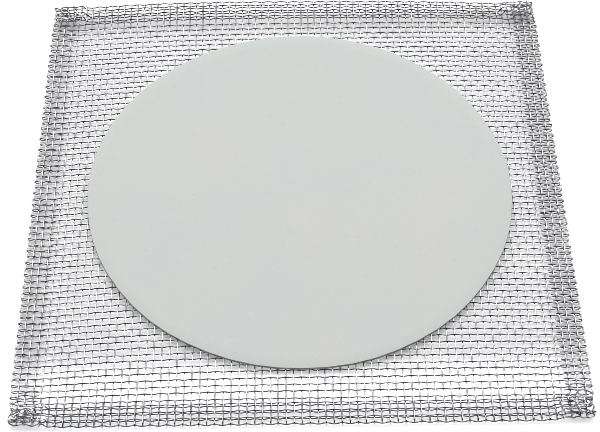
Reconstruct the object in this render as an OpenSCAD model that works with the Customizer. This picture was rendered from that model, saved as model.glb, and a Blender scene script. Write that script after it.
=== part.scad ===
/* [Gauze] */
// Length of each side of the finished square, over its folded edges
side_l = 125; // [118:1:160]
// Spacing of the wires, centre to centre, before it is fitted to the folds
mesh_pitch = 1.7; // [1.3:0.05:2.5]
// Diameter of the wire
wire_d = 0.3; // [0.2:0.01:0.4]
// Air between a wire and the wire that it lies on
layer_gap = 0.03; // [0.025:0.005:0.06]

/* [Hems] */
// Depth of each hem, from the folded edge to the cut ends of the wires
hem_depth = 6.2; // [5:0.1:9]
// Least length of wire that stands out past the last wire along a hem
cut_end_l = 0.5; // [0.3:0.1:1]

/* [Ceramic disc] */
// Diameter of the disc
disc_d = 100; // [60:1:106]
// Ceramic above the top of the wire cloth
disc_above = 0.25; // [0.2:0.05:1]
// Ceramic below the underside of the wire cloth
disc_below = 0.8; // [0.4:0.1:1.5]
// Radius of the disc's rounded edges
disc_edge_r = 0.15; // [0.1:0.05:0.5]
// How far the disc's centre lies to the right of the square's centre
disc_right = 0.4; // [-1:0.1:1]
// How far the disc's centre lies behind the square's centre
disc_back = 0.9; // [-2:0.1:2]
// Clearance round each wire where it runs through the ceramic
disc_fit = 0.01; // [0.005:0.001:0.012]

/* [Hidden] */
$fn = 24;

// The gauze lies flat on its disc, with the disc's underside at z = 0. The wires lie in layers
// and the cloth is the lowest two: layer 0 is the weft, along X, and layer 1 the warp, along Y.
weft_layer = 0;
warp_layer = 1;
layer_step = wire_d + layer_gap;
cloth_t = layer_step + wire_d;
// The left and right hems fold up and inwards about a line just above the cloth, which makes
// them layers 2 and 3. The front and back hems then fold all four layers over, to 5 to 8,
// and the turned-in ends of the wire that lies in their fold take layer 4.
side_fold = 1.5;
end_fold = 4;

// A wire turns about its fold on a radius of its own distance from the fold
function side_turn_r(layer) = abs(side_fold - layer) * layer_step;
function end_turn_r(layer) = abs(end_fold - layer) * layer_step;
function layer_z(layer) = disc_below + wire_d / 2 + layer * layer_step;

// Where the straight runs end and the turns begin, measured from the centre
side_turn_at = (side_l - wire_d) / 2 - side_turn_r(weft_layer);
end_turn_at = (side_l - wire_d) / 2 - end_turn_r(weft_layer);
// Where the wires are cut off in the hems
cut_at = side_l / 2 - hem_depth;

// Length of wire in a quarter of a turn
function quarter(r) = PI * r / 2;
side_quarter = quarter(side_turn_r(weft_layer));
end_quarter = quarter(end_turn_r(warp_layer));
// The pitch is fitted so that one wire lies in the middle of each fold
side_fold_n = round((side_turn_at + side_quarter) / mesh_pitch);
end_fold_n = round((end_turn_at + end_quarter) / mesh_pitch);
warp_pitch = (side_turn_at + side_quarter) / side_fold_n;
weft_pitch = (end_turn_at + end_quarter) / end_fold_n;
// How many wires each hem holds past the one in its fold
side_hem_n = floor((side_turn_at - cut_at - cut_end_l + side_quarter) / warp_pitch);
end_hem_n = floor((end_turn_at - cut_at - cut_end_l + end_quarter) / weft_pitch);

// A straight length of wire along X
module leg(l) {
    rotate([0, 90, 0]) cylinder(h = l, d = wire_d);
}

// A turn back over itself, from the origin up to 2 * r
module half_turn(r) {
    translate([0, 0, r])
        rotate([90, 0, 0])
            rotate([0, 0, -90])
                rotate_extrude(angle = 180)
                    translate([r, 0]) circle(d = wire_d);
}

// One whole wire: a run along X, a turn up at each end, and legs that come back as far as
// where the hems are cut
module wire(turn_at, r) {
    translate([-turn_at, 0, 0]) leg(2 * turn_at);
    for (end = [0, 1])
        mirror([end, 0, 0]) {
            translate([turn_at, 0, 0]) half_turn(r);
            translate([cut_at, 0, 2 * r]) leg(turn_at - cut_at);
        }
}

// Where the side folds carry a warp that lies at distance s from the centre of the flat cloth:
// how far they turn it, its distance from the centre, and the layer that it comes to
function side_turn(s) =
    90 * min(max(s - side_turn_at, 0), 2 * side_quarter) / side_quarter;
function side_place(s) =
    min(s, side_turn_at) + side_turn_r(warp_layer) * sin(side_turn(s))
    - max(s - side_turn_at - 2 * side_quarter, 0);
function side_layer(s) = side_fold - (side_fold - warp_layer) * cos(side_turn(s));

// A wire along Y whose ends turn at the front and back folds
module warp(s) {
    layer = side_layer(s);
    translate([side_place(s), 0, layer_z(layer)])
        rotate([0, 0, 90])
            wire(end_turn_at, end_turn_r(layer));
}

// A wire along X whose ends turn at the left and right folds. It lies at distance s from the
// centre of the flat cloth, and the back fold carries it round with the warp.
module weft(s) {
    turn = 90 * min(max(s - end_turn_at, 0), 2 * end_quarter) / end_quarter;
    past = max(s - end_turn_at - 2 * end_quarter, 0);
    translate([0, end_turn_at, layer_z(end_fold)])
        rotate([turn, 0, 0])
            translate([0, min(s - end_turn_at, 0) + past, -end_turn_r(weft_layer)])
                wire(side_turn_at, side_turn_r(weft_layer));
}

module weft_wires() {
    color("gainsboro") {
        weft(0);
        for (side = [0, 1], n = [1 : end_fold_n - 1])
            mirror([0, side, 0]) weft(n * weft_pitch);
    }
}

module warp_wires() {
    color("silver") {
        warp(0);
        for (side = [0, 1], n = [1 : side_fold_n - 1])
            mirror([side, 0, 0]) warp(n * warp_pitch);
    }
}

// The wires along X in the back hem: one lies in the fold, with its ends turned inwards,
// and the others lie on top, with their ends turned down
module back_hem_wires() {
    color("darkgray")
        for (n = [0 : end_hem_n])
            weft((end_fold_n + n) * weft_pitch);
}

module front_hem_wires() {
    mirror([0, 1, 0]) back_hem_wires();
}

// The wires along Y in the right hem: one lies in the fold and the others on the cloth
module right_hem_wires() {
    color("darkgray")
        for (n = [0 : side_hem_n])
            warp((side_fold_n + n) * warp_pitch);
}

module left_hem_wires() {
    mirror([1, 0, 0]) right_hem_wires();
}

// Half of the disc's section: a flat plate with rounded edges
module disc_section() {
    r = disc_d / 2;
    t = disc_below + cloth_t + disc_above;
    square([r - disc_edge_r, t]);
    translate([0, disc_edge_r]) square([r, t - 2 * disc_edge_r]);
    for (z = [disc_edge_r, t - disc_edge_r])
        translate([r - disc_edge_r, z]) circle(r = disc_edge_r);
}

// The ceramic, with a channel for each wire that runs through it
module ceramic_disc() {
    channel_d = wire_d + 2 * disc_fit;
    reach = (disc_d + channel_d) / 2;
    color("lightgray")
        difference() {
            translate([disc_right, disc_back, 0]) rotate_extrude() disc_section();
            for (n = [1 - end_fold_n : end_fold_n - 1])
                if (abs(n * weft_pitch - disc_back) < reach)
                    translate([-side_l / 2, n * weft_pitch, layer_z(weft_layer)])
                        rotate([0, 90, 0]) cylinder(h = side_l, d = channel_d);
            for (n = [1 - side_fold_n : side_fold_n - 1])
                if (abs(n * warp_pitch - disc_right) < reach)
                    translate([n * warp_pitch, side_l / 2, layer_z(warp_layer)])
                        rotate([90, 0, 0]) cylinder(h = side_l, d = channel_d);
        }
}

weft_wires();
warp_wires();
front_hem_wires();
back_hem_wires();
left_hem_wires();
right_hem_wires();
ceramic_disc();
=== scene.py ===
# %% [markdown]
# # A laboratory wire gauze
# A wire gauze is a square of woven steel wire with a round pad of ceramic in its middle. It
# lies on a tripod over a burner and spreads the heat under a beaker. The CAD model holds its
# sizes, with straight wires in layers. This script gives it the true weave, in which each wire
# bends over and under the ones that it meets, the folded hems, and the finish of both
# materials. Every length is in metres, in the frame of the CAD model.

# %% Open the CAD model
import math

import bpy
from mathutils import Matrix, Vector


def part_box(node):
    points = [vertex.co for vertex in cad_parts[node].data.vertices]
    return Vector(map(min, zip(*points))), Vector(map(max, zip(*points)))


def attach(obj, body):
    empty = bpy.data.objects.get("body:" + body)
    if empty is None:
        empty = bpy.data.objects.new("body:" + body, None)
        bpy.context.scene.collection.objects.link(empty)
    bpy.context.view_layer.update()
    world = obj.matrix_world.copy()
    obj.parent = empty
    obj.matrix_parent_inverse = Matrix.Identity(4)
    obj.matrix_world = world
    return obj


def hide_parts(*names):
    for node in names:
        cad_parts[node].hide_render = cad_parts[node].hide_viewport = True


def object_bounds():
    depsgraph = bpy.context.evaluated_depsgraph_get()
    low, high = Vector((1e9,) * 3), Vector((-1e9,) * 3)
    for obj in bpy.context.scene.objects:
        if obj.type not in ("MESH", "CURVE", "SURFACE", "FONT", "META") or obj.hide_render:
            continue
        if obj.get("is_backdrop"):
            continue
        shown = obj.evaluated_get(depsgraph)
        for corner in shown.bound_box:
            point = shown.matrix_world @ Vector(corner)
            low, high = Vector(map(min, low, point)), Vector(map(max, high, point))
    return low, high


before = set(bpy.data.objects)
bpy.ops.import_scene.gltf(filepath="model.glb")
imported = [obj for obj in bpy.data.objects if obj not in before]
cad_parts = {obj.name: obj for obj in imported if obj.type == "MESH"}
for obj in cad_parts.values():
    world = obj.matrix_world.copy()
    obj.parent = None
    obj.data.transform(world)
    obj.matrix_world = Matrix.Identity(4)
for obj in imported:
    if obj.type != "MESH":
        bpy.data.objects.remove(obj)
cad_low, cad_high = (list(corner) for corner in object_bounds())
MM = 0.001
print("CAD size in mm:", [round((b - a) / MM, 2) for a, b in zip(cad_low, cad_high)])

# %% [markdown]
# ## Sizes
# The places come from the boxes of the CAD model, so that the weave fits what was checked. A
# wire lies in the fold of each hem, 37 pitches from the middle, and three more follow it in the
# flap. The fold is tight, and that wire is the outermost of all, so the size of the gauze gives
# the pitch. A little room is left beyond it, because drawn wire is never quite straight.

# %% Read the sizes from the model
WIRE = 0.30 * MM
FOLD_N = 37
HEM_N = 3
FOLD_R = 0.4 * MM
EDGE_ROOM = 0.12 * MM
half_side = (cad_high[0] - cad_low[0]) / 2
edge = half_side - EDGE_ROOM
pitch = (edge - WIRE + (math.pi / 2 - 1) * FOLD_R) / FOLD_N
cloth_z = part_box("weft_wires")[0].z + WIRE
disc_low, disc_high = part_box("ceramic_disc")
disc_centre = (disc_low + disc_high) / 2
disc_r = (disc_high.x - disc_low.x) / 2
print("pitch in mm:", round(pitch / MM, 3))


# %% [markdown]
# ## Sums on sockets
# The weave and the materials are both worked out by node trees. Wiring Math nodes by hand
# hides the formula, so a small class wraps a socket and lets plain Python operators add the
# nodes. An expression such as `1 - mask` then reads as what it does. A second class makes
# every other node, from its type, its settings and the values or links of its sockets.

# %% A class for sums
class Term:
    """The output of a node. Operators on it add Math nodes."""

    def __init__(self, tree, socket):
        self.tree = tree
        self.socket = socket

    def __add__(self, other):
        return self.tree.math("ADD", self, other)

    def __radd__(self, other):
        return self.tree.math("ADD", other, self)

    def __sub__(self, other):
        return self.tree.math("SUBTRACT", self, other)

    def __rsub__(self, other):
        return self.tree.math("SUBTRACT", other, self)

    def __mul__(self, other):
        return self.tree.math("MULTIPLY", self, other)

    def __rmul__(self, other):
        return self.tree.math("MULTIPLY", other, self)

    def __truediv__(self, other):
        return self.tree.math("DIVIDE", self, other)

    def __rtruediv__(self, other):
        return self.tree.math("DIVIDE", other, self)

    def __neg__(self):
        return self.tree.math("MULTIPLY", self, -1.0)


# %% A class for trees
class Tree:
    """A node tree, of a material or of Geometry Nodes."""

    def __init__(self, tree):
        self.tree = tree

    def node(self, kind, settings=None, inputs=None):
        """A new node. Its settings are made first, then its inputs are given or linked."""
        made = self.tree.nodes.new(kind)
        for name, value in (settings or {}).items():
            setattr(made, name, value)
        for name, value in (inputs or {}).items():
            self.feed(made.inputs[name], value)
        return made

    def feed(self, socket, value):
        if isinstance(value, Term):
            self.tree.links.new(value.socket, socket)
        else:
            socket.default_value = value

    def out(self, node, name=0):
        return Term(self, node.outputs[name])

    def math(self, operation, *values):
        made = self.node("ShaderNodeMath", {"operation": operation})
        for socket, value in zip(made.inputs, values):
            self.feed(socket, value)
        return self.out(made)

    def clamp(self, value, low, high):
        return self.math("MINIMUM", self.math("MAXIMUM", value, low), high)

    def smooth(self, value, start, end):
        """0 before start, 1 after end, and an even rise between them."""
        settings = {"interpolation_type": "SMOOTHSTEP"}
        inputs = {"Value": value, "From Min": start, "From Max": end}
        return self.out(self.node("ShaderNodeMapRange", settings, inputs))

    def vector(self, x, y, z):
        return self.out(self.node("ShaderNodeCombineXYZ", inputs={"X": x, "Y": y, "Z": z}))

    def split(self, vector):
        made = self.node("ShaderNodeSeparateXYZ", inputs={"Vector": vector})
        return [self.out(made, axis) for axis in "XYZ"]

    def noise(self, vector, scale, detail=2.0):
        """Soft noise about 0, between about -0.5 and 0.5."""
        inputs = {"Vector": vector, "Scale": scale, "Detail": detail}
        return self.out(self.node("ShaderNodeTexNoise", inputs=inputs)) - 0.5

    def dice(self, value):
        """A fixed random number from 0 to 1 for each value."""
        settings = {"noise_dimensions": "1D"}
        return self.out(self.node("ShaderNodeTexWhiteNoise", settings, {"W": value}), "Value")


# %% [markdown]
# ## Finishes
# The wire is steel with a zinc coat, which is bright where it is new and duller where it has
# been handled. Each wire carries an attribute of tone, which runs from about 0 where it is
# bright to about 1 where it is dark, so neighbours differ a little as drawn wire does. The tone
# also holds painted shade and painted highlights: the weft is painted darker than the warp,
# the warp darker in the front and back hems, and the crushed corners get patches of both. The
# ceramic is a matt, pale grey, smooth to the eye but finely pitted, with painted shade in its
# pits. Noise makes all of this, because it needs no unwrapped surface, and both finishes read
# Object coordinates, so the pattern lies on the piece itself.

# %% A new material, and a mix of two colours
def new_material(name):
    """The material, its tree, its shader and the place of each point on the piece."""
    material = bpy.data.materials.new(name)
    material.use_nodes = True
    tree = Tree(material.node_tree)
    shader = material.node_tree.nodes["Principled BSDF"]
    coordinates = tree.node("ShaderNodeTexCoord")
    return material, tree, shader, tree.out(coordinates, "Object")


def mix_colours(tree, factor, first, second):
    """A mix of two colours. The Mix node has sockets of one name for each kind of value, and
    those for colours are its inputs 6 and 7 and its output 2."""
    made = tree.node("ShaderNodeMix", {"data_type": "RGBA"})
    tree.feed(made.inputs["Factor"], factor)
    tree.feed(made.inputs[6], first)
    tree.feed(made.inputs[7], second)
    return tree.out(made, 2)


# %% Zinc-coated wire
def zinc_wire():
    material, tree, shader, place = new_material("zinc_wire")
    tone_and_shade = tree.out(tree.node("ShaderNodeAttribute", {"attribute_name": "tone_and_shade"}), "Fac")
    spots = tree.noise(place, 900.0, 3.0)
    bloom = tree.noise(place, 60.0)
    # dark where the coat is dull, and where the tone holds painted shade on the weft, the end hems
    # and the corners
    dullness_and_shade = tree.clamp(0.9 * tone_and_shade + 0.5 * bloom + 0.4 * spots, 0.0, 1.0)
    bright = (0.64, 0.64, 0.65, 1.0)
    grey = (0.10, 0.10, 0.11, 1.0)
    tree.feed(shader.inputs["Base Color"], mix_colours(tree, dullness_and_shade, bright, grey))
    tree.feed(shader.inputs["Roughness"], 0.14 + 0.14 * dullness_and_shade)
    shader.inputs["Metallic"].default_value = 1.0
    relief = {"Height": spots, "Strength": 0.15, "Distance": 0.02 * MM}
    tree.feed(shader.inputs["Normal"], tree.out(tree.node("ShaderNodeBump", inputs=relief)))
    return material


# %% Ceramic
def pale_ceramic():
    material, tree, shader, place = new_material("pale_ceramic")
    clouds = tree.noise(place, 45.0, 3.0)
    grain = tree.noise(place, 2600.0, 4.0)
    pits = tree.smooth(tree.noise(place, 700.0, 1.0), 0.16, 0.3)
    cool = (0.545, 0.572, 0.558, 1.0)
    warm = (0.577, 0.577, 0.565, 1.0)
    clouded = mix_colours(tree, tree.clamp(0.5 + 2.0 * clouds, 0.0, 1.0), cool, warm)
    # the pits are painted a little darker, as painted shade in them
    pit_shade = (0.42, 0.42, 0.4, 1.0)
    tree.feed(shader.inputs["Base Color"], mix_colours(tree, 0.15 * pits, clouded, pit_shade))
    tree.feed(shader.inputs["Roughness"], 0.78 + 0.15 * grain)
    shader.inputs["Specular IOR Level"].default_value = 0.35
    relief = {"Height": grain - 0.6 * pits, "Strength": 0.25, "Distance": 0.05 * MM}
    tree.feed(shader.inputs["Normal"], tree.out(tree.node("ShaderNodeBump", inputs=relief)))
    return material


wire_finish = zinc_wire()
ceramic_finish = pale_ceramic()
print("finishes:", wire_finish.name, "and", ceramic_finish.name)

# %% [markdown]
# ## The flat cloth
# Real gauze starts as flat cloth. So does this: a wire is a line that stands across the cloth
# at its own station and runs along it, and formulas fold the flat cloth into hems afterwards.
# Every wire then keeps its true length round a fold. In plain weave a wire goes over one and
# under the next, which is a cosine along it that turns over from each wire to the next.
# Geometry Nodes suit this, because one tree with named inputs makes every wire of the object.
# Inside it, u and v are a point's place in the flat cloth, and x, y and z its place once folded.
# A wire is never quite straight, so noise and dice move it a little. The odd factors in them,
# such as 7.31, do nothing but keep the draws of different wires apart.

# %% Sizes of the flat cloth
WEFT_RISE = 0.52  # thicknesses of the wire
WARP_RISE = 0.48
WANDER = 0.16 * MM
WANDERS = 130.0  # bends in each metre
SKEW = 2.5 * MM
BURIED = 1.2 * MM  # how far a wire is still made inside the rim of the disc
CUT_N = 0.6  # pitches from the last crossing to the cut end
CUT_SPREAD = 0.06
STRAIGHT_N = 34  # pitches from the middle with few points, before the hem
STRAIGHT_STEPS = 6
HEM_STEPS = 14
flap_n = FOLD_N + HEM_N + CUT_N - STRAIGHT_N
straight_points = STRAIGHT_N * STRAIGHT_STEPS
hem_points = math.ceil(flap_n * HEM_STEPS)
print("points on a wire:", 2 * (straight_points + hem_points) + 1)


# %% A numbered line for each wire
def numbered_lines(tree, wires, first):
    """One straight line for each wire. X holds the numbers of its points, counted both ways
    from the middle, and Y holds the number of the wire."""
    half_n = straight_points + hem_points
    ends = {"Start": (-half_n, 0, 0), "End": (half_n, 0, 0)}
    line = tree.node("GeometryNodeCurvePrimitiveLine", inputs=ends)
    counted = {"Curve": tree.out(line), "Count": 2 * half_n + 1}
    points = tree.node("GeometryNodeResampleCurve", inputs=counted)
    start = tree.vector(0.0, first, 0.0)
    row = {"Count": wires, "Start Location": start, "Offset": (0.0, 1.0, 0.0)}
    stations = tree.node("GeometryNodeMeshLine", inputs=row)
    copies = {"Points": tree.out(stations), "Instance": tree.out(points)}
    lines = tree.out(tree.node("GeometryNodeInstanceOnPoints", inputs=copies))
    return tree.out(tree.node("GeometryNodeRealizeInstances", inputs={"Geometry": lines}))


def along_wire(tree, number, station, spacing, seed):
    """How far along its wire a point lies. Points are closer in the hems, which bend, and
    the cut ends are a little uneven."""
    side = tree.math("SIGN", number)
    count = tree.math("ABSOLUTE", number)
    draw = tree.dice(station * 7.31 + side * 2.17 + seed)
    hem_step = spacing * (flap_n / hem_points) * (1.0 + CUT_SPREAD * (draw - 0.5))
    return side * (
        tree.math("MINIMUM", count, straight_points) * spacing / STRAIGHT_STEPS
        + tree.math("MAXIMUM", count - straight_points, 0.0) * hem_step
    )


def wandering(tree, along, station, seed):
    """How far a wire strays from its station: by soft bends, and by a set amount of its own."""
    bends = tree.noise(tree.vector(along * WANDERS, station * 9.7 + seed, 0.0), 1.0)
    return WANDER * bends + WANDER * (tree.dice(station + seed) - 0.5)


def skewed(tree, u, v):
    """The weft was pulled out of square towards the left, most of all halfway back."""
    leftward = tree.math("MAXIMUM", -u / half_side, 0.0)
    share = v * v / (half_side * half_side)
    return v - SKEW * leftward * leftward * (1.0 - share * share)


def outside_disc(tree, lines, u, v):
    """The lines without their points inside the ceramic, where a straight stretch is enough."""
    off_x = u - disc_centre.x
    off_y = v - disc_centre.y
    from_centre = tree.math("SQRT", off_x * off_x + off_y * off_y)
    hidden = tree.math("LESS_THAN", from_centre, disc_r - BURIED)
    given = {"Geometry": lines, "Selection": hidden}
    return tree.out(tree.node("GeometryNodeDeleteGeometry", {"domain": "POINT"}, given))


# %% [markdown]
# ## The hems
# Each side hem is folded up and over onto the cloth. The front and back hems are folded after
# them, and take the ends of the side hems along, so a corner is four layers thick. A fold is
# half a turn: a point travels round it by its own distance along the cloth, then back above
# the layer below. A bend modifier could turn a flap too, but a formula leaves the cut lengths
# right. The flaps shift a little as they are pressed down, and the thick corners are crushed,
# which soft noise gives without tearing the cloth.

# %% Sizes of the hems and the drape
CORNER_FOLD_R = 1.1 * MM
SHEAR = 0.25  # how far a flap shears sideways, for each metre past its fold
SHEARS = 40.0  # changes in each metre
SLIP = 0.55 * MM
TANGLE = 1.2 * MM
TANGLES = 800.0
TANGLE_RISE = 0.6  # the shares of the tangle that heap it up and push it in
TANGLE_IN = 0.3
CRUSH_L = 5.0 * MM
DROOP = 0.65 * MM
WOBBLE = 0.3 * MM
WOBBLES = 45.0
BOW = 1.3 * MM
BOW_LEAN = 0.35  # how much flatter the bow is towards the right
SIDES_FROM = 0.45  # shares of half the side, where each part of the drape starts
FRONT_FROM = 0.55
BACK_FROM = 0.82
hem_start = half_side - 7.0 * MM
swell_start = half_side - 10.0 * MM


# %% A fold, and what the cloth does beside it
def fold(tree, place, radius, lift):
    """Carries a point of flat cloth round the fold at the edge. place is its distance from the
    middle along the cloth, radius is the fold's, and lift is its height above the cloth.
    Returns its distance from the middle, its height, and how far it lies past the fold."""
    start = edge - WIRE - radius
    turn = tree.clamp((place - start) / radius, 0.0, math.pi)
    past = tree.math("MAXIMUM", place - start - math.pi * radius, 0.0)
    arm = radius - lift
    out = tree.math("MINIMUM", place, start) + arm * tree.math("SINE", turn) - past
    return out, radius - arm * tree.math("COSINE", turn), past


def strayed(tree, past, spacing, corner, outward, pattern):
    """How far a flap shifts sideways: by a soft shear, and in a corner by a slip inwards."""
    slip = SLIP * tree.smooth(past, 0.0, spacing) * corner
    return SHEAR * past * tree.noise(pattern, 1.0) - outward * slip


def draped(tree, x, y):
    """The field stands on its disc, its sides and front hang lower, and its back bows up."""
    sides = tree.smooth(tree.math("ABSOLUTE", x), SIDES_FROM * half_side, half_side)
    low = tree.math("MAXIMUM", sides, tree.smooth(-y, FRONT_FROM * half_side, half_side))
    wobble = WOBBLE * low * tree.noise(tree.vector(x * WOBBLES, y * WOBBLES, 0.0), 1.0)
    part_way = x / half_side
    bow = BOW * (1.0 - part_way * part_way) * (1.0 - BOW_LEAN * part_way)
    return wobble - DROOP * low + bow * tree.smooth(y, BACK_FROM * half_side, half_side)


# %% Wires from lines
def tubes(tree, lines, wire, finish):
    """Gives each line the thickness of the wire, and the finish."""
    round_wire = {"Resolution": 6, "Radius": wire / 2.0}
    section = tree.out(tree.node("GeometryNodeCurvePrimitiveCircle", inputs=round_wire))
    swept = {"Curve": lines, "Profile Curve": section, "Fill Caps": True}
    bare = tree.out(tree.node("GeometryNodeCurveToMesh", inputs=swept))
    shaded = tree.out(tree.node("GeometryNodeSetShadeSmooth", inputs={"Geometry": bare}))
    whole = tree.out(tree.node("GeometryNodeRealizeInstances", inputs={"Geometry": shaded}))
    coated = {"Geometry": whole, "Material": finish}
    return tree.out(tree.node("GeometryNodeSetMaterial", inputs=coated))


# %% [markdown]
# ## The tree that weaves
# The tree takes a count of wires, the number of the first one, and whether they are warp. The
# steps above follow one another in it. The last of them stores the tone of each wire for its
# finish, with painted shade and painted highlights in it: the weft is painted darker than the
# warp, as the shade of the dim room it mirrors, the warp is painted darker in the front and
# back hems, as shade where the bent cloth mirrors the room, the weft is a little lighter in the
# side hems, and the crushed corners get patches of painted highlight and shade, as glints on
# tangled wire. The tone is worked out from the points' numbers, so it is stored before the
# points are moved to their places.

# %% Make the tree
WEAVE_INPUTS = [
    ("Wires", "Int"), ("First", "Float"), ("Pitch", "Float"), ("Warp", "Float"),
    ("Seed", "Float"), ("Wire", "Float"), ("Finish", "Material"),
]
# painted shade: the weft darker than the warp, and the warp darker in the front and back hems
WEFT_PAINTED_SHADE = 0.7
SIDE_HEM_LIGHTER = 0.2
END_HEM_PAINTED_SHADE = 0.3
TONE_SPREAD = 0.35
# patches of painted highlight and painted shade in the crushed corners
PATCHES = 700.0
PATCH_CONTRAST = 5.0
PATCH_LIGHTER = 0.15


def group_inputs(group, inputs):
    for name, kind in inputs:
        group.interface.new_socket(name, in_out="INPUT", socket_type="NodeSocket" + kind)
    group.interface.new_socket("Geometry", in_out="OUTPUT", socket_type="NodeSocketGeometry")


def weave_tree():
    group = bpy.data.node_groups.new("Weave", "GeometryNodeTree")
    group_inputs(group, WEAVE_INPUTS)
    tree = Tree(group)
    inlet = tree.node("NodeGroupInput")
    wires, first, spacing, warp, seed, wire, finish = (
        tree.out(inlet, name) for name, kind in WEAVE_INPUTS
    )

    def swap(if_weft, if_warp):
        return if_weft + (if_warp - if_weft) * warp

    # the flat cloth
    lines = numbered_lines(tree, wires, first)
    number, station, _ = tree.split(tree.out(tree.node("GeometryNodeInputPosition")))
    along = along_wire(tree, number, station, spacing, seed)
    across = station * spacing + wandering(tree, along, station, seed)
    weaving = tree.math("COSINE", math.pi * along / spacing) * tree.math("COSINE", math.pi * station)
    lift = swap(WEFT_RISE, -WARP_RISE) * weaving * wire
    u = swap(along, across)
    v = skewed(tree, u, swap(across, along))
    kept = outside_disc(tree, lines, u, v)

    # the side hems, then the front and back hems
    right = tree.math("SIGN", u)
    back = tree.math("SIGN", v)
    x, lift, past = fold(tree, tree.math("ABSOLUTE", u), FOLD_R, lift)
    near_end = tree.smooth(back * v, swell_start, hem_start)
    pattern = tree.vector(0.0, v * SHEARS, right)
    v = v + strayed(tree, past, spacing, near_end, back, pattern)
    near_side = tree.smooth(x, swell_start, hem_start)
    end_r = FOLD_R + (CORNER_FOLD_R - FOLD_R) * near_side
    y, z, past = fold(tree, tree.math("ABSOLUTE", v), end_r, lift)
    pattern = tree.vector(u * SHEARS, 0.0, back)
    x = right * x + strayed(tree, past, spacing, near_side, right, pattern)
    y = back * y

    # the crushed corners, where a level of its own keeps each direction's draw apart
    corner = near_side * tree.smooth(back * y, hem_start, half_side - CRUSH_L)
    tangled = TANGLE * corner

    def tangle(level):
        pattern = tree.vector(u * TANGLES, v * TANGLES, warp * 5.0 + level)
        return tangled * tree.noise(pattern, 1.0)

    shaped = tree.vector(
        x + tangle(0.0) - right * TANGLE_IN * tangled,
        y + tangle(20.0) - back * TANGLE_IN * tangled,
        cloth_z + z + draped(tree, x, y) + TANGLE_RISE * tangle(40.0),
    )

    # the tone of the coat, with painted shade and painted highlights
    in_side_hem = tree.smooth(right * x, hem_start - MM, hem_start)
    in_end_hem = tree.smooth(back * y, hem_start - MM, hem_start)
    pattern = tree.vector(u * PATCHES, v * PATCHES, warp * 5.0 + 60.0)
    # painted highlights and painted shade in patches on the crushed corners
    corner_glints_and_shade = corner * (PATCH_CONTRAST * tree.noise(pattern, 1.0) - PATCH_LIGHTER)
    # painted shade on the weft, and on the warp of the front and back hems
    tone_and_shade = swap(WEFT_PAINTED_SHADE - SIDE_HEM_LIGHTER * in_side_hem, END_HEM_PAINTED_SHADE * in_end_hem)
    tone_and_shade = tone_and_shade + TONE_SPREAD * tree.dice(station * 3.7 + seed) + corner_glints_and_shade
    store = {"data_type": "FLOAT", "domain": "POINT"}
    given = {"Geometry": kept, "Name": "tone_and_shade", "Value": tone_and_shade}
    toned = tree.out(tree.node("GeometryNodeStoreNamedAttribute", store, given))

    given = {"Geometry": toned, "Position": shaped}
    placed = tree.out(tree.node("GeometryNodeSetPosition", inputs=given))
    outlet = tree.node("NodeGroupOutput")
    tree.feed(outlet.inputs["Geometry"], tubes(tree, placed, wire, finish))
    print("the weaving tree has", len(group.nodes), "nodes")
    return group


weave = weave_tree()


# %% [markdown]
# ## The pieces of cloth
# The weft and the warp are each made in two halves, so that no mesh is too heavy, and the wires
# of each hem are a piece of their own, as in the CAD model. Both halves of a set use one seed.
# A modifier with the tree makes each piece, and its result is kept as a plain mesh.

# %% Make the pieces of cloth
def give(modifier, group, values):
    """Sets a modifier's named inputs by the identifiers of their sockets."""
    for item in group.interface.items_tree:
        if item.item_type == "SOCKET" and item.in_out == "INPUT" and item.name in values:
            modifier[item.identifier] = values[item.name]


def plain_mesh(name, group, values):
    """An object of that name, with the tree's result as its mesh and no modifier left."""
    piece = bpy.data.objects.new(name, bpy.data.meshes.new(name))
    bpy.context.scene.collection.objects.link(piece)
    modifier = piece.modifiers.new("Nodes", "NODES")
    modifier.node_group = group
    give(modifier, group, values)
    evaluated = piece.evaluated_get(bpy.context.evaluated_depsgraph_get())
    piece.data = bpy.data.meshes.new_from_object(evaluated)
    piece.modifiers.clear()
    piece.data.name = name
    triangles = sum(len(face.vertices) - 2 for face in piece.data.polygons)
    print(name, "has", triangles, "triangles")
    return piece


def weave_wires(name, node, wires, first, warp, seed):
    """The wires of one set, from the number of the first, in place of a node of the CAD."""
    values = {
        "Wires": wires, "First": float(first), "Warp": float(warp), "Seed": float(seed),
        "Pitch": pitch, "Wire": WIRE, "Finish": wire_finish,
    }
    piece = plain_mesh(name, weave, values)
    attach(piece, "root")
    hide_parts(node)
    return piece


weave_wires("front_weft", "weft_wires", FOLD_N, 1 - FOLD_N, False, 11)
weave_wires("back_weft", "weft_wires", FOLD_N - 1, 1, False, 11)
weave_wires("left_warp", "warp_wires", FOLD_N, 1 - FOLD_N, True, 23)
weave_wires("right_warp", "warp_wires", FOLD_N - 1, 1, True, 23)
weave_wires("front_hem_weft", "front_hem_wires", HEM_N + 1, -FOLD_N - HEM_N, False, 11)
weave_wires("back_hem_weft", "back_hem_wires", HEM_N + 1, FOLD_N, False, 11)
weave_wires("left_hem_warp", "left_hem_wires", HEM_N + 1, -FOLD_N - HEM_N, True, 23)
weave_wires("right_hem_warp", "right_hem_wires", HEM_N + 1, FOLD_N, True, 23)

# %% [markdown]
# ## The ceramic disc
# The paste is pressed through the cloth and fired, so the disc is flat above and below, its
# rim is rounded by the mould and drawn in below the cloth, and its edge wavers where it met
# the wires. It could be a cylinder with a bevel, but the waver is easier to give ring by ring:
# each ring is one step of the section, from the middle of the top to that of the underside.

# %% The disc
RIM_R = 0.16 * MM
UNDERCUT = 0.7 * MM
SHRINK = 0.12 * MM
RIM_ONLY = 12  # the higher, the nearer the rim the waver stays
DISC_POINTS = 360
FLAT_SHARES = (0.25, 0.5, 0.75, 0.93)
QUARTER = [math.radians(18 * step) for step in range(6)]


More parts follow.
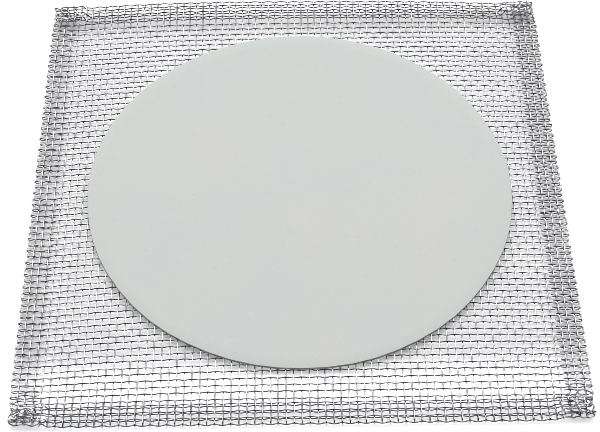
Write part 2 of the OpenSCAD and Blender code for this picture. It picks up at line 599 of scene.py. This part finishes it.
def disc_section():
    """(distance from the centre, height) down the section, from the top to the underside."""
    top, bottom = disc_high.z, disc_low.z
    low_r = disc_r - UNDERCUT
    rings = [(disc_r * share, top) for share in FLAT_SHARES]
    for turn in QUARTER:
        reach = disc_r - RIM_R + RIM_R * math.sin(turn)
        rings.append((reach, top - RIM_R + RIM_R * math.cos(turn)))
    rings.append((disc_r, cloth_z))
    for turn in QUARTER:
        reach = low_r - RIM_R + RIM_R * math.cos(turn)
        rings.append((reach, bottom + RIM_R - RIM_R * math.sin(turn)))
    return rings + [(disc_r * share, bottom) for share in reversed(FLAT_SHARES)]


def waver(turn):
    """How far the rim stands out at that angle."""
    waves = 0.05 * math.sin(5 * turn + 1) + 0.04 * math.sin(13 * turn) + 0.03 * math.sin(59 * turn)
    return waves * MM - SHRINK


def ring_points(reach, height):
    """A ring of the disc. It wavers only near the rim."""
    rim = (reach / disc_r) ** RIM_ONLY
    points = []
    for step in range(DISC_POINTS):
        turn = 2 * math.pi * step / DISC_POINTS
        out = reach + rim * waver(turn)
        x = disc_centre.x + out * math.cos(turn)
        points.append((x, disc_centre.y + out * math.sin(turn), height))
    return points


def ceramic_disc():
    section = disc_section()
    corners = [(disc_centre.x, disc_centre.y, disc_high.z)]
    for reach, height in section:
        corners.extend(ring_points(reach, height))
    corners.append((disc_centre.x, disc_centre.y, disc_low.z))
    last = len(corners) - 1
    faces = []
    for step in range(DISC_POINTS):
        after = (step + 1) % DISC_POINTS
        faces.append((0, 1 + step, 1 + after))
        for ring in range(len(section) - 1):
            near, far = 1 + ring * DISC_POINTS, 1 + (ring + 1) * DISC_POINTS
            faces.append((near + step, far + step, far + after, near + after))
        faces.append((last, last - DISC_POINTS + after, last - DISC_POINTS + step))
    mesh = bpy.data.meshes.new("ceramic_pad")
    mesh.from_pydata(corners, [], faces)
    mesh.shade_smooth()
    mesh.materials.append(ceramic_finish)
    return bpy.data.objects.new("ceramic_pad", mesh)


pad = ceramic_disc()
bpy.context.scene.collection.objects.link(pad)
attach(pad, "root")
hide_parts("ceramic_disc")
print("the disc has", len(pad.data.polygons), "faces")

# %% [markdown]
# ## The floor
# The gauze lies on a plain pale floor, as on a light table. The floor glows a little by itself,
# so the ground seen through the mesh is a pale grey, and it glows more under the front hem,
# where the ground is white. A lit box below would do the same, but a glowing finish needs no
# more parts.

# %% Floor
FLOOR_REACH = 3.0
GLOW_FROM = 0.68  # shares of half the side, towards the front
GLOW_TO = 0.84


def floor_finish():
    material, tree, shader, place = new_material("pale_floor")
    shader.inputs["Base Color"].default_value = (0.85, 0.85, 0.86, 1.0)
    shader.inputs["Roughness"].default_value = 0.9
    towards_front = -tree.split(place)[1]
    frontward = tree.smooth(towards_front, GLOW_FROM * half_side, GLOW_TO * half_side)
    faint = (0.2, 0.2, 0.2, 1.0)
    strong = (0.5, 0.5, 0.5, 1.0)
    glow = mix_colours(tree, frontward, faint, strong)
    tree.feed(shader.inputs["Emission Color"], glow)
    shader.inputs["Emission Strength"].default_value = 1.0
    return material


def make_floor():
    mesh = bpy.data.meshes.new("floor")
    turned = ((-1, -1), (1, -1), (1, 1), (-1, 1))
    corners = [(FLOOR_REACH * x, FLOOR_REACH * y, 0) for x, y in turned]
    mesh.from_pydata(corners, [], [(0, 1, 2, 3)])
    mesh.materials.append(floor_finish())
    floor = bpy.data.objects.new("floor", mesh)
    bpy.context.scene.collection.objects.link(floor)
    floor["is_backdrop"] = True
    print("the floor is", 2 * FLOOR_REACH, "m wide")


make_floor()

# %% [markdown]
# ## Light and camera
# Wire looks bright only against something dark, so the room is dim and the light comes from
# one large soft panel behind the gauze. The wires mirror the panel as white lines and the room
# as dark ones. The camera stands in front and looks down, at the distance of a long lens.

# %% Light
def soft_panel(name, place, width, height, power):
    """A flat light at that place that faces the origin."""
    light = bpy.data.lights.new(name, "AREA")
    light.shape = "RECTANGLE"
    light.size = width
    light.size_y = height
    light.energy = power
    panel = bpy.data.objects.new(name, light)
    panel.location = place
    panel.rotation_euler = (-Vector(place)).to_track_quat("-Z", "Y").to_euler()
    bpy.context.scene.collection.objects.link(panel)
    print(name, "is", round(Vector(place).length, 2), "m away")


soft_panel("back_panel", place=(0.0, 2.57, 3.06), width=9.5, height=6.8, power=537.0)
world = bpy.data.worlds.new("room")
world.use_nodes = True
background = world.node_tree.nodes["Background"]
background.inputs["Color"].default_value = (0.9, 0.93, 1.0, 1.0)
background.inputs["Strength"].default_value = 0.01
bpy.context.scene.world = world
bpy.context.scene.view_settings.view_transform = "Standard"
bpy.context.scene.cycles.filter_width = 0.6

# %% Camera
ELEVATION = math.radians(52.2)
TURN = math.radians(0.94)
LENS = 91.5
SENSOR = 36.0
CAMERA_PLACE = Vector((-0.0256, -1.7945, 2.2421))  # in sides of the gauze, above the cloth
camera = bpy.data.objects.new("camera", bpy.data.cameras.new("camera"))
camera.data.lens = LENS
camera.data.sensor_width = SENSOR
camera.location = CAMERA_PLACE * 2 * half_side + Vector((0, 0, cloth_z))
level = math.cos(ELEVATION)
looking = Vector((math.sin(TURN) * level, math.cos(TURN) * level, -math.sin(ELEVATION)))
camera.rotation_euler = looking.to_track_quat("-Z", "Y").to_euler()
bpy.context.scene.collection.objects.link(camera)
bpy.context.scene.camera = camera
print("the camera is", round(camera.location.length, 3), "m away")
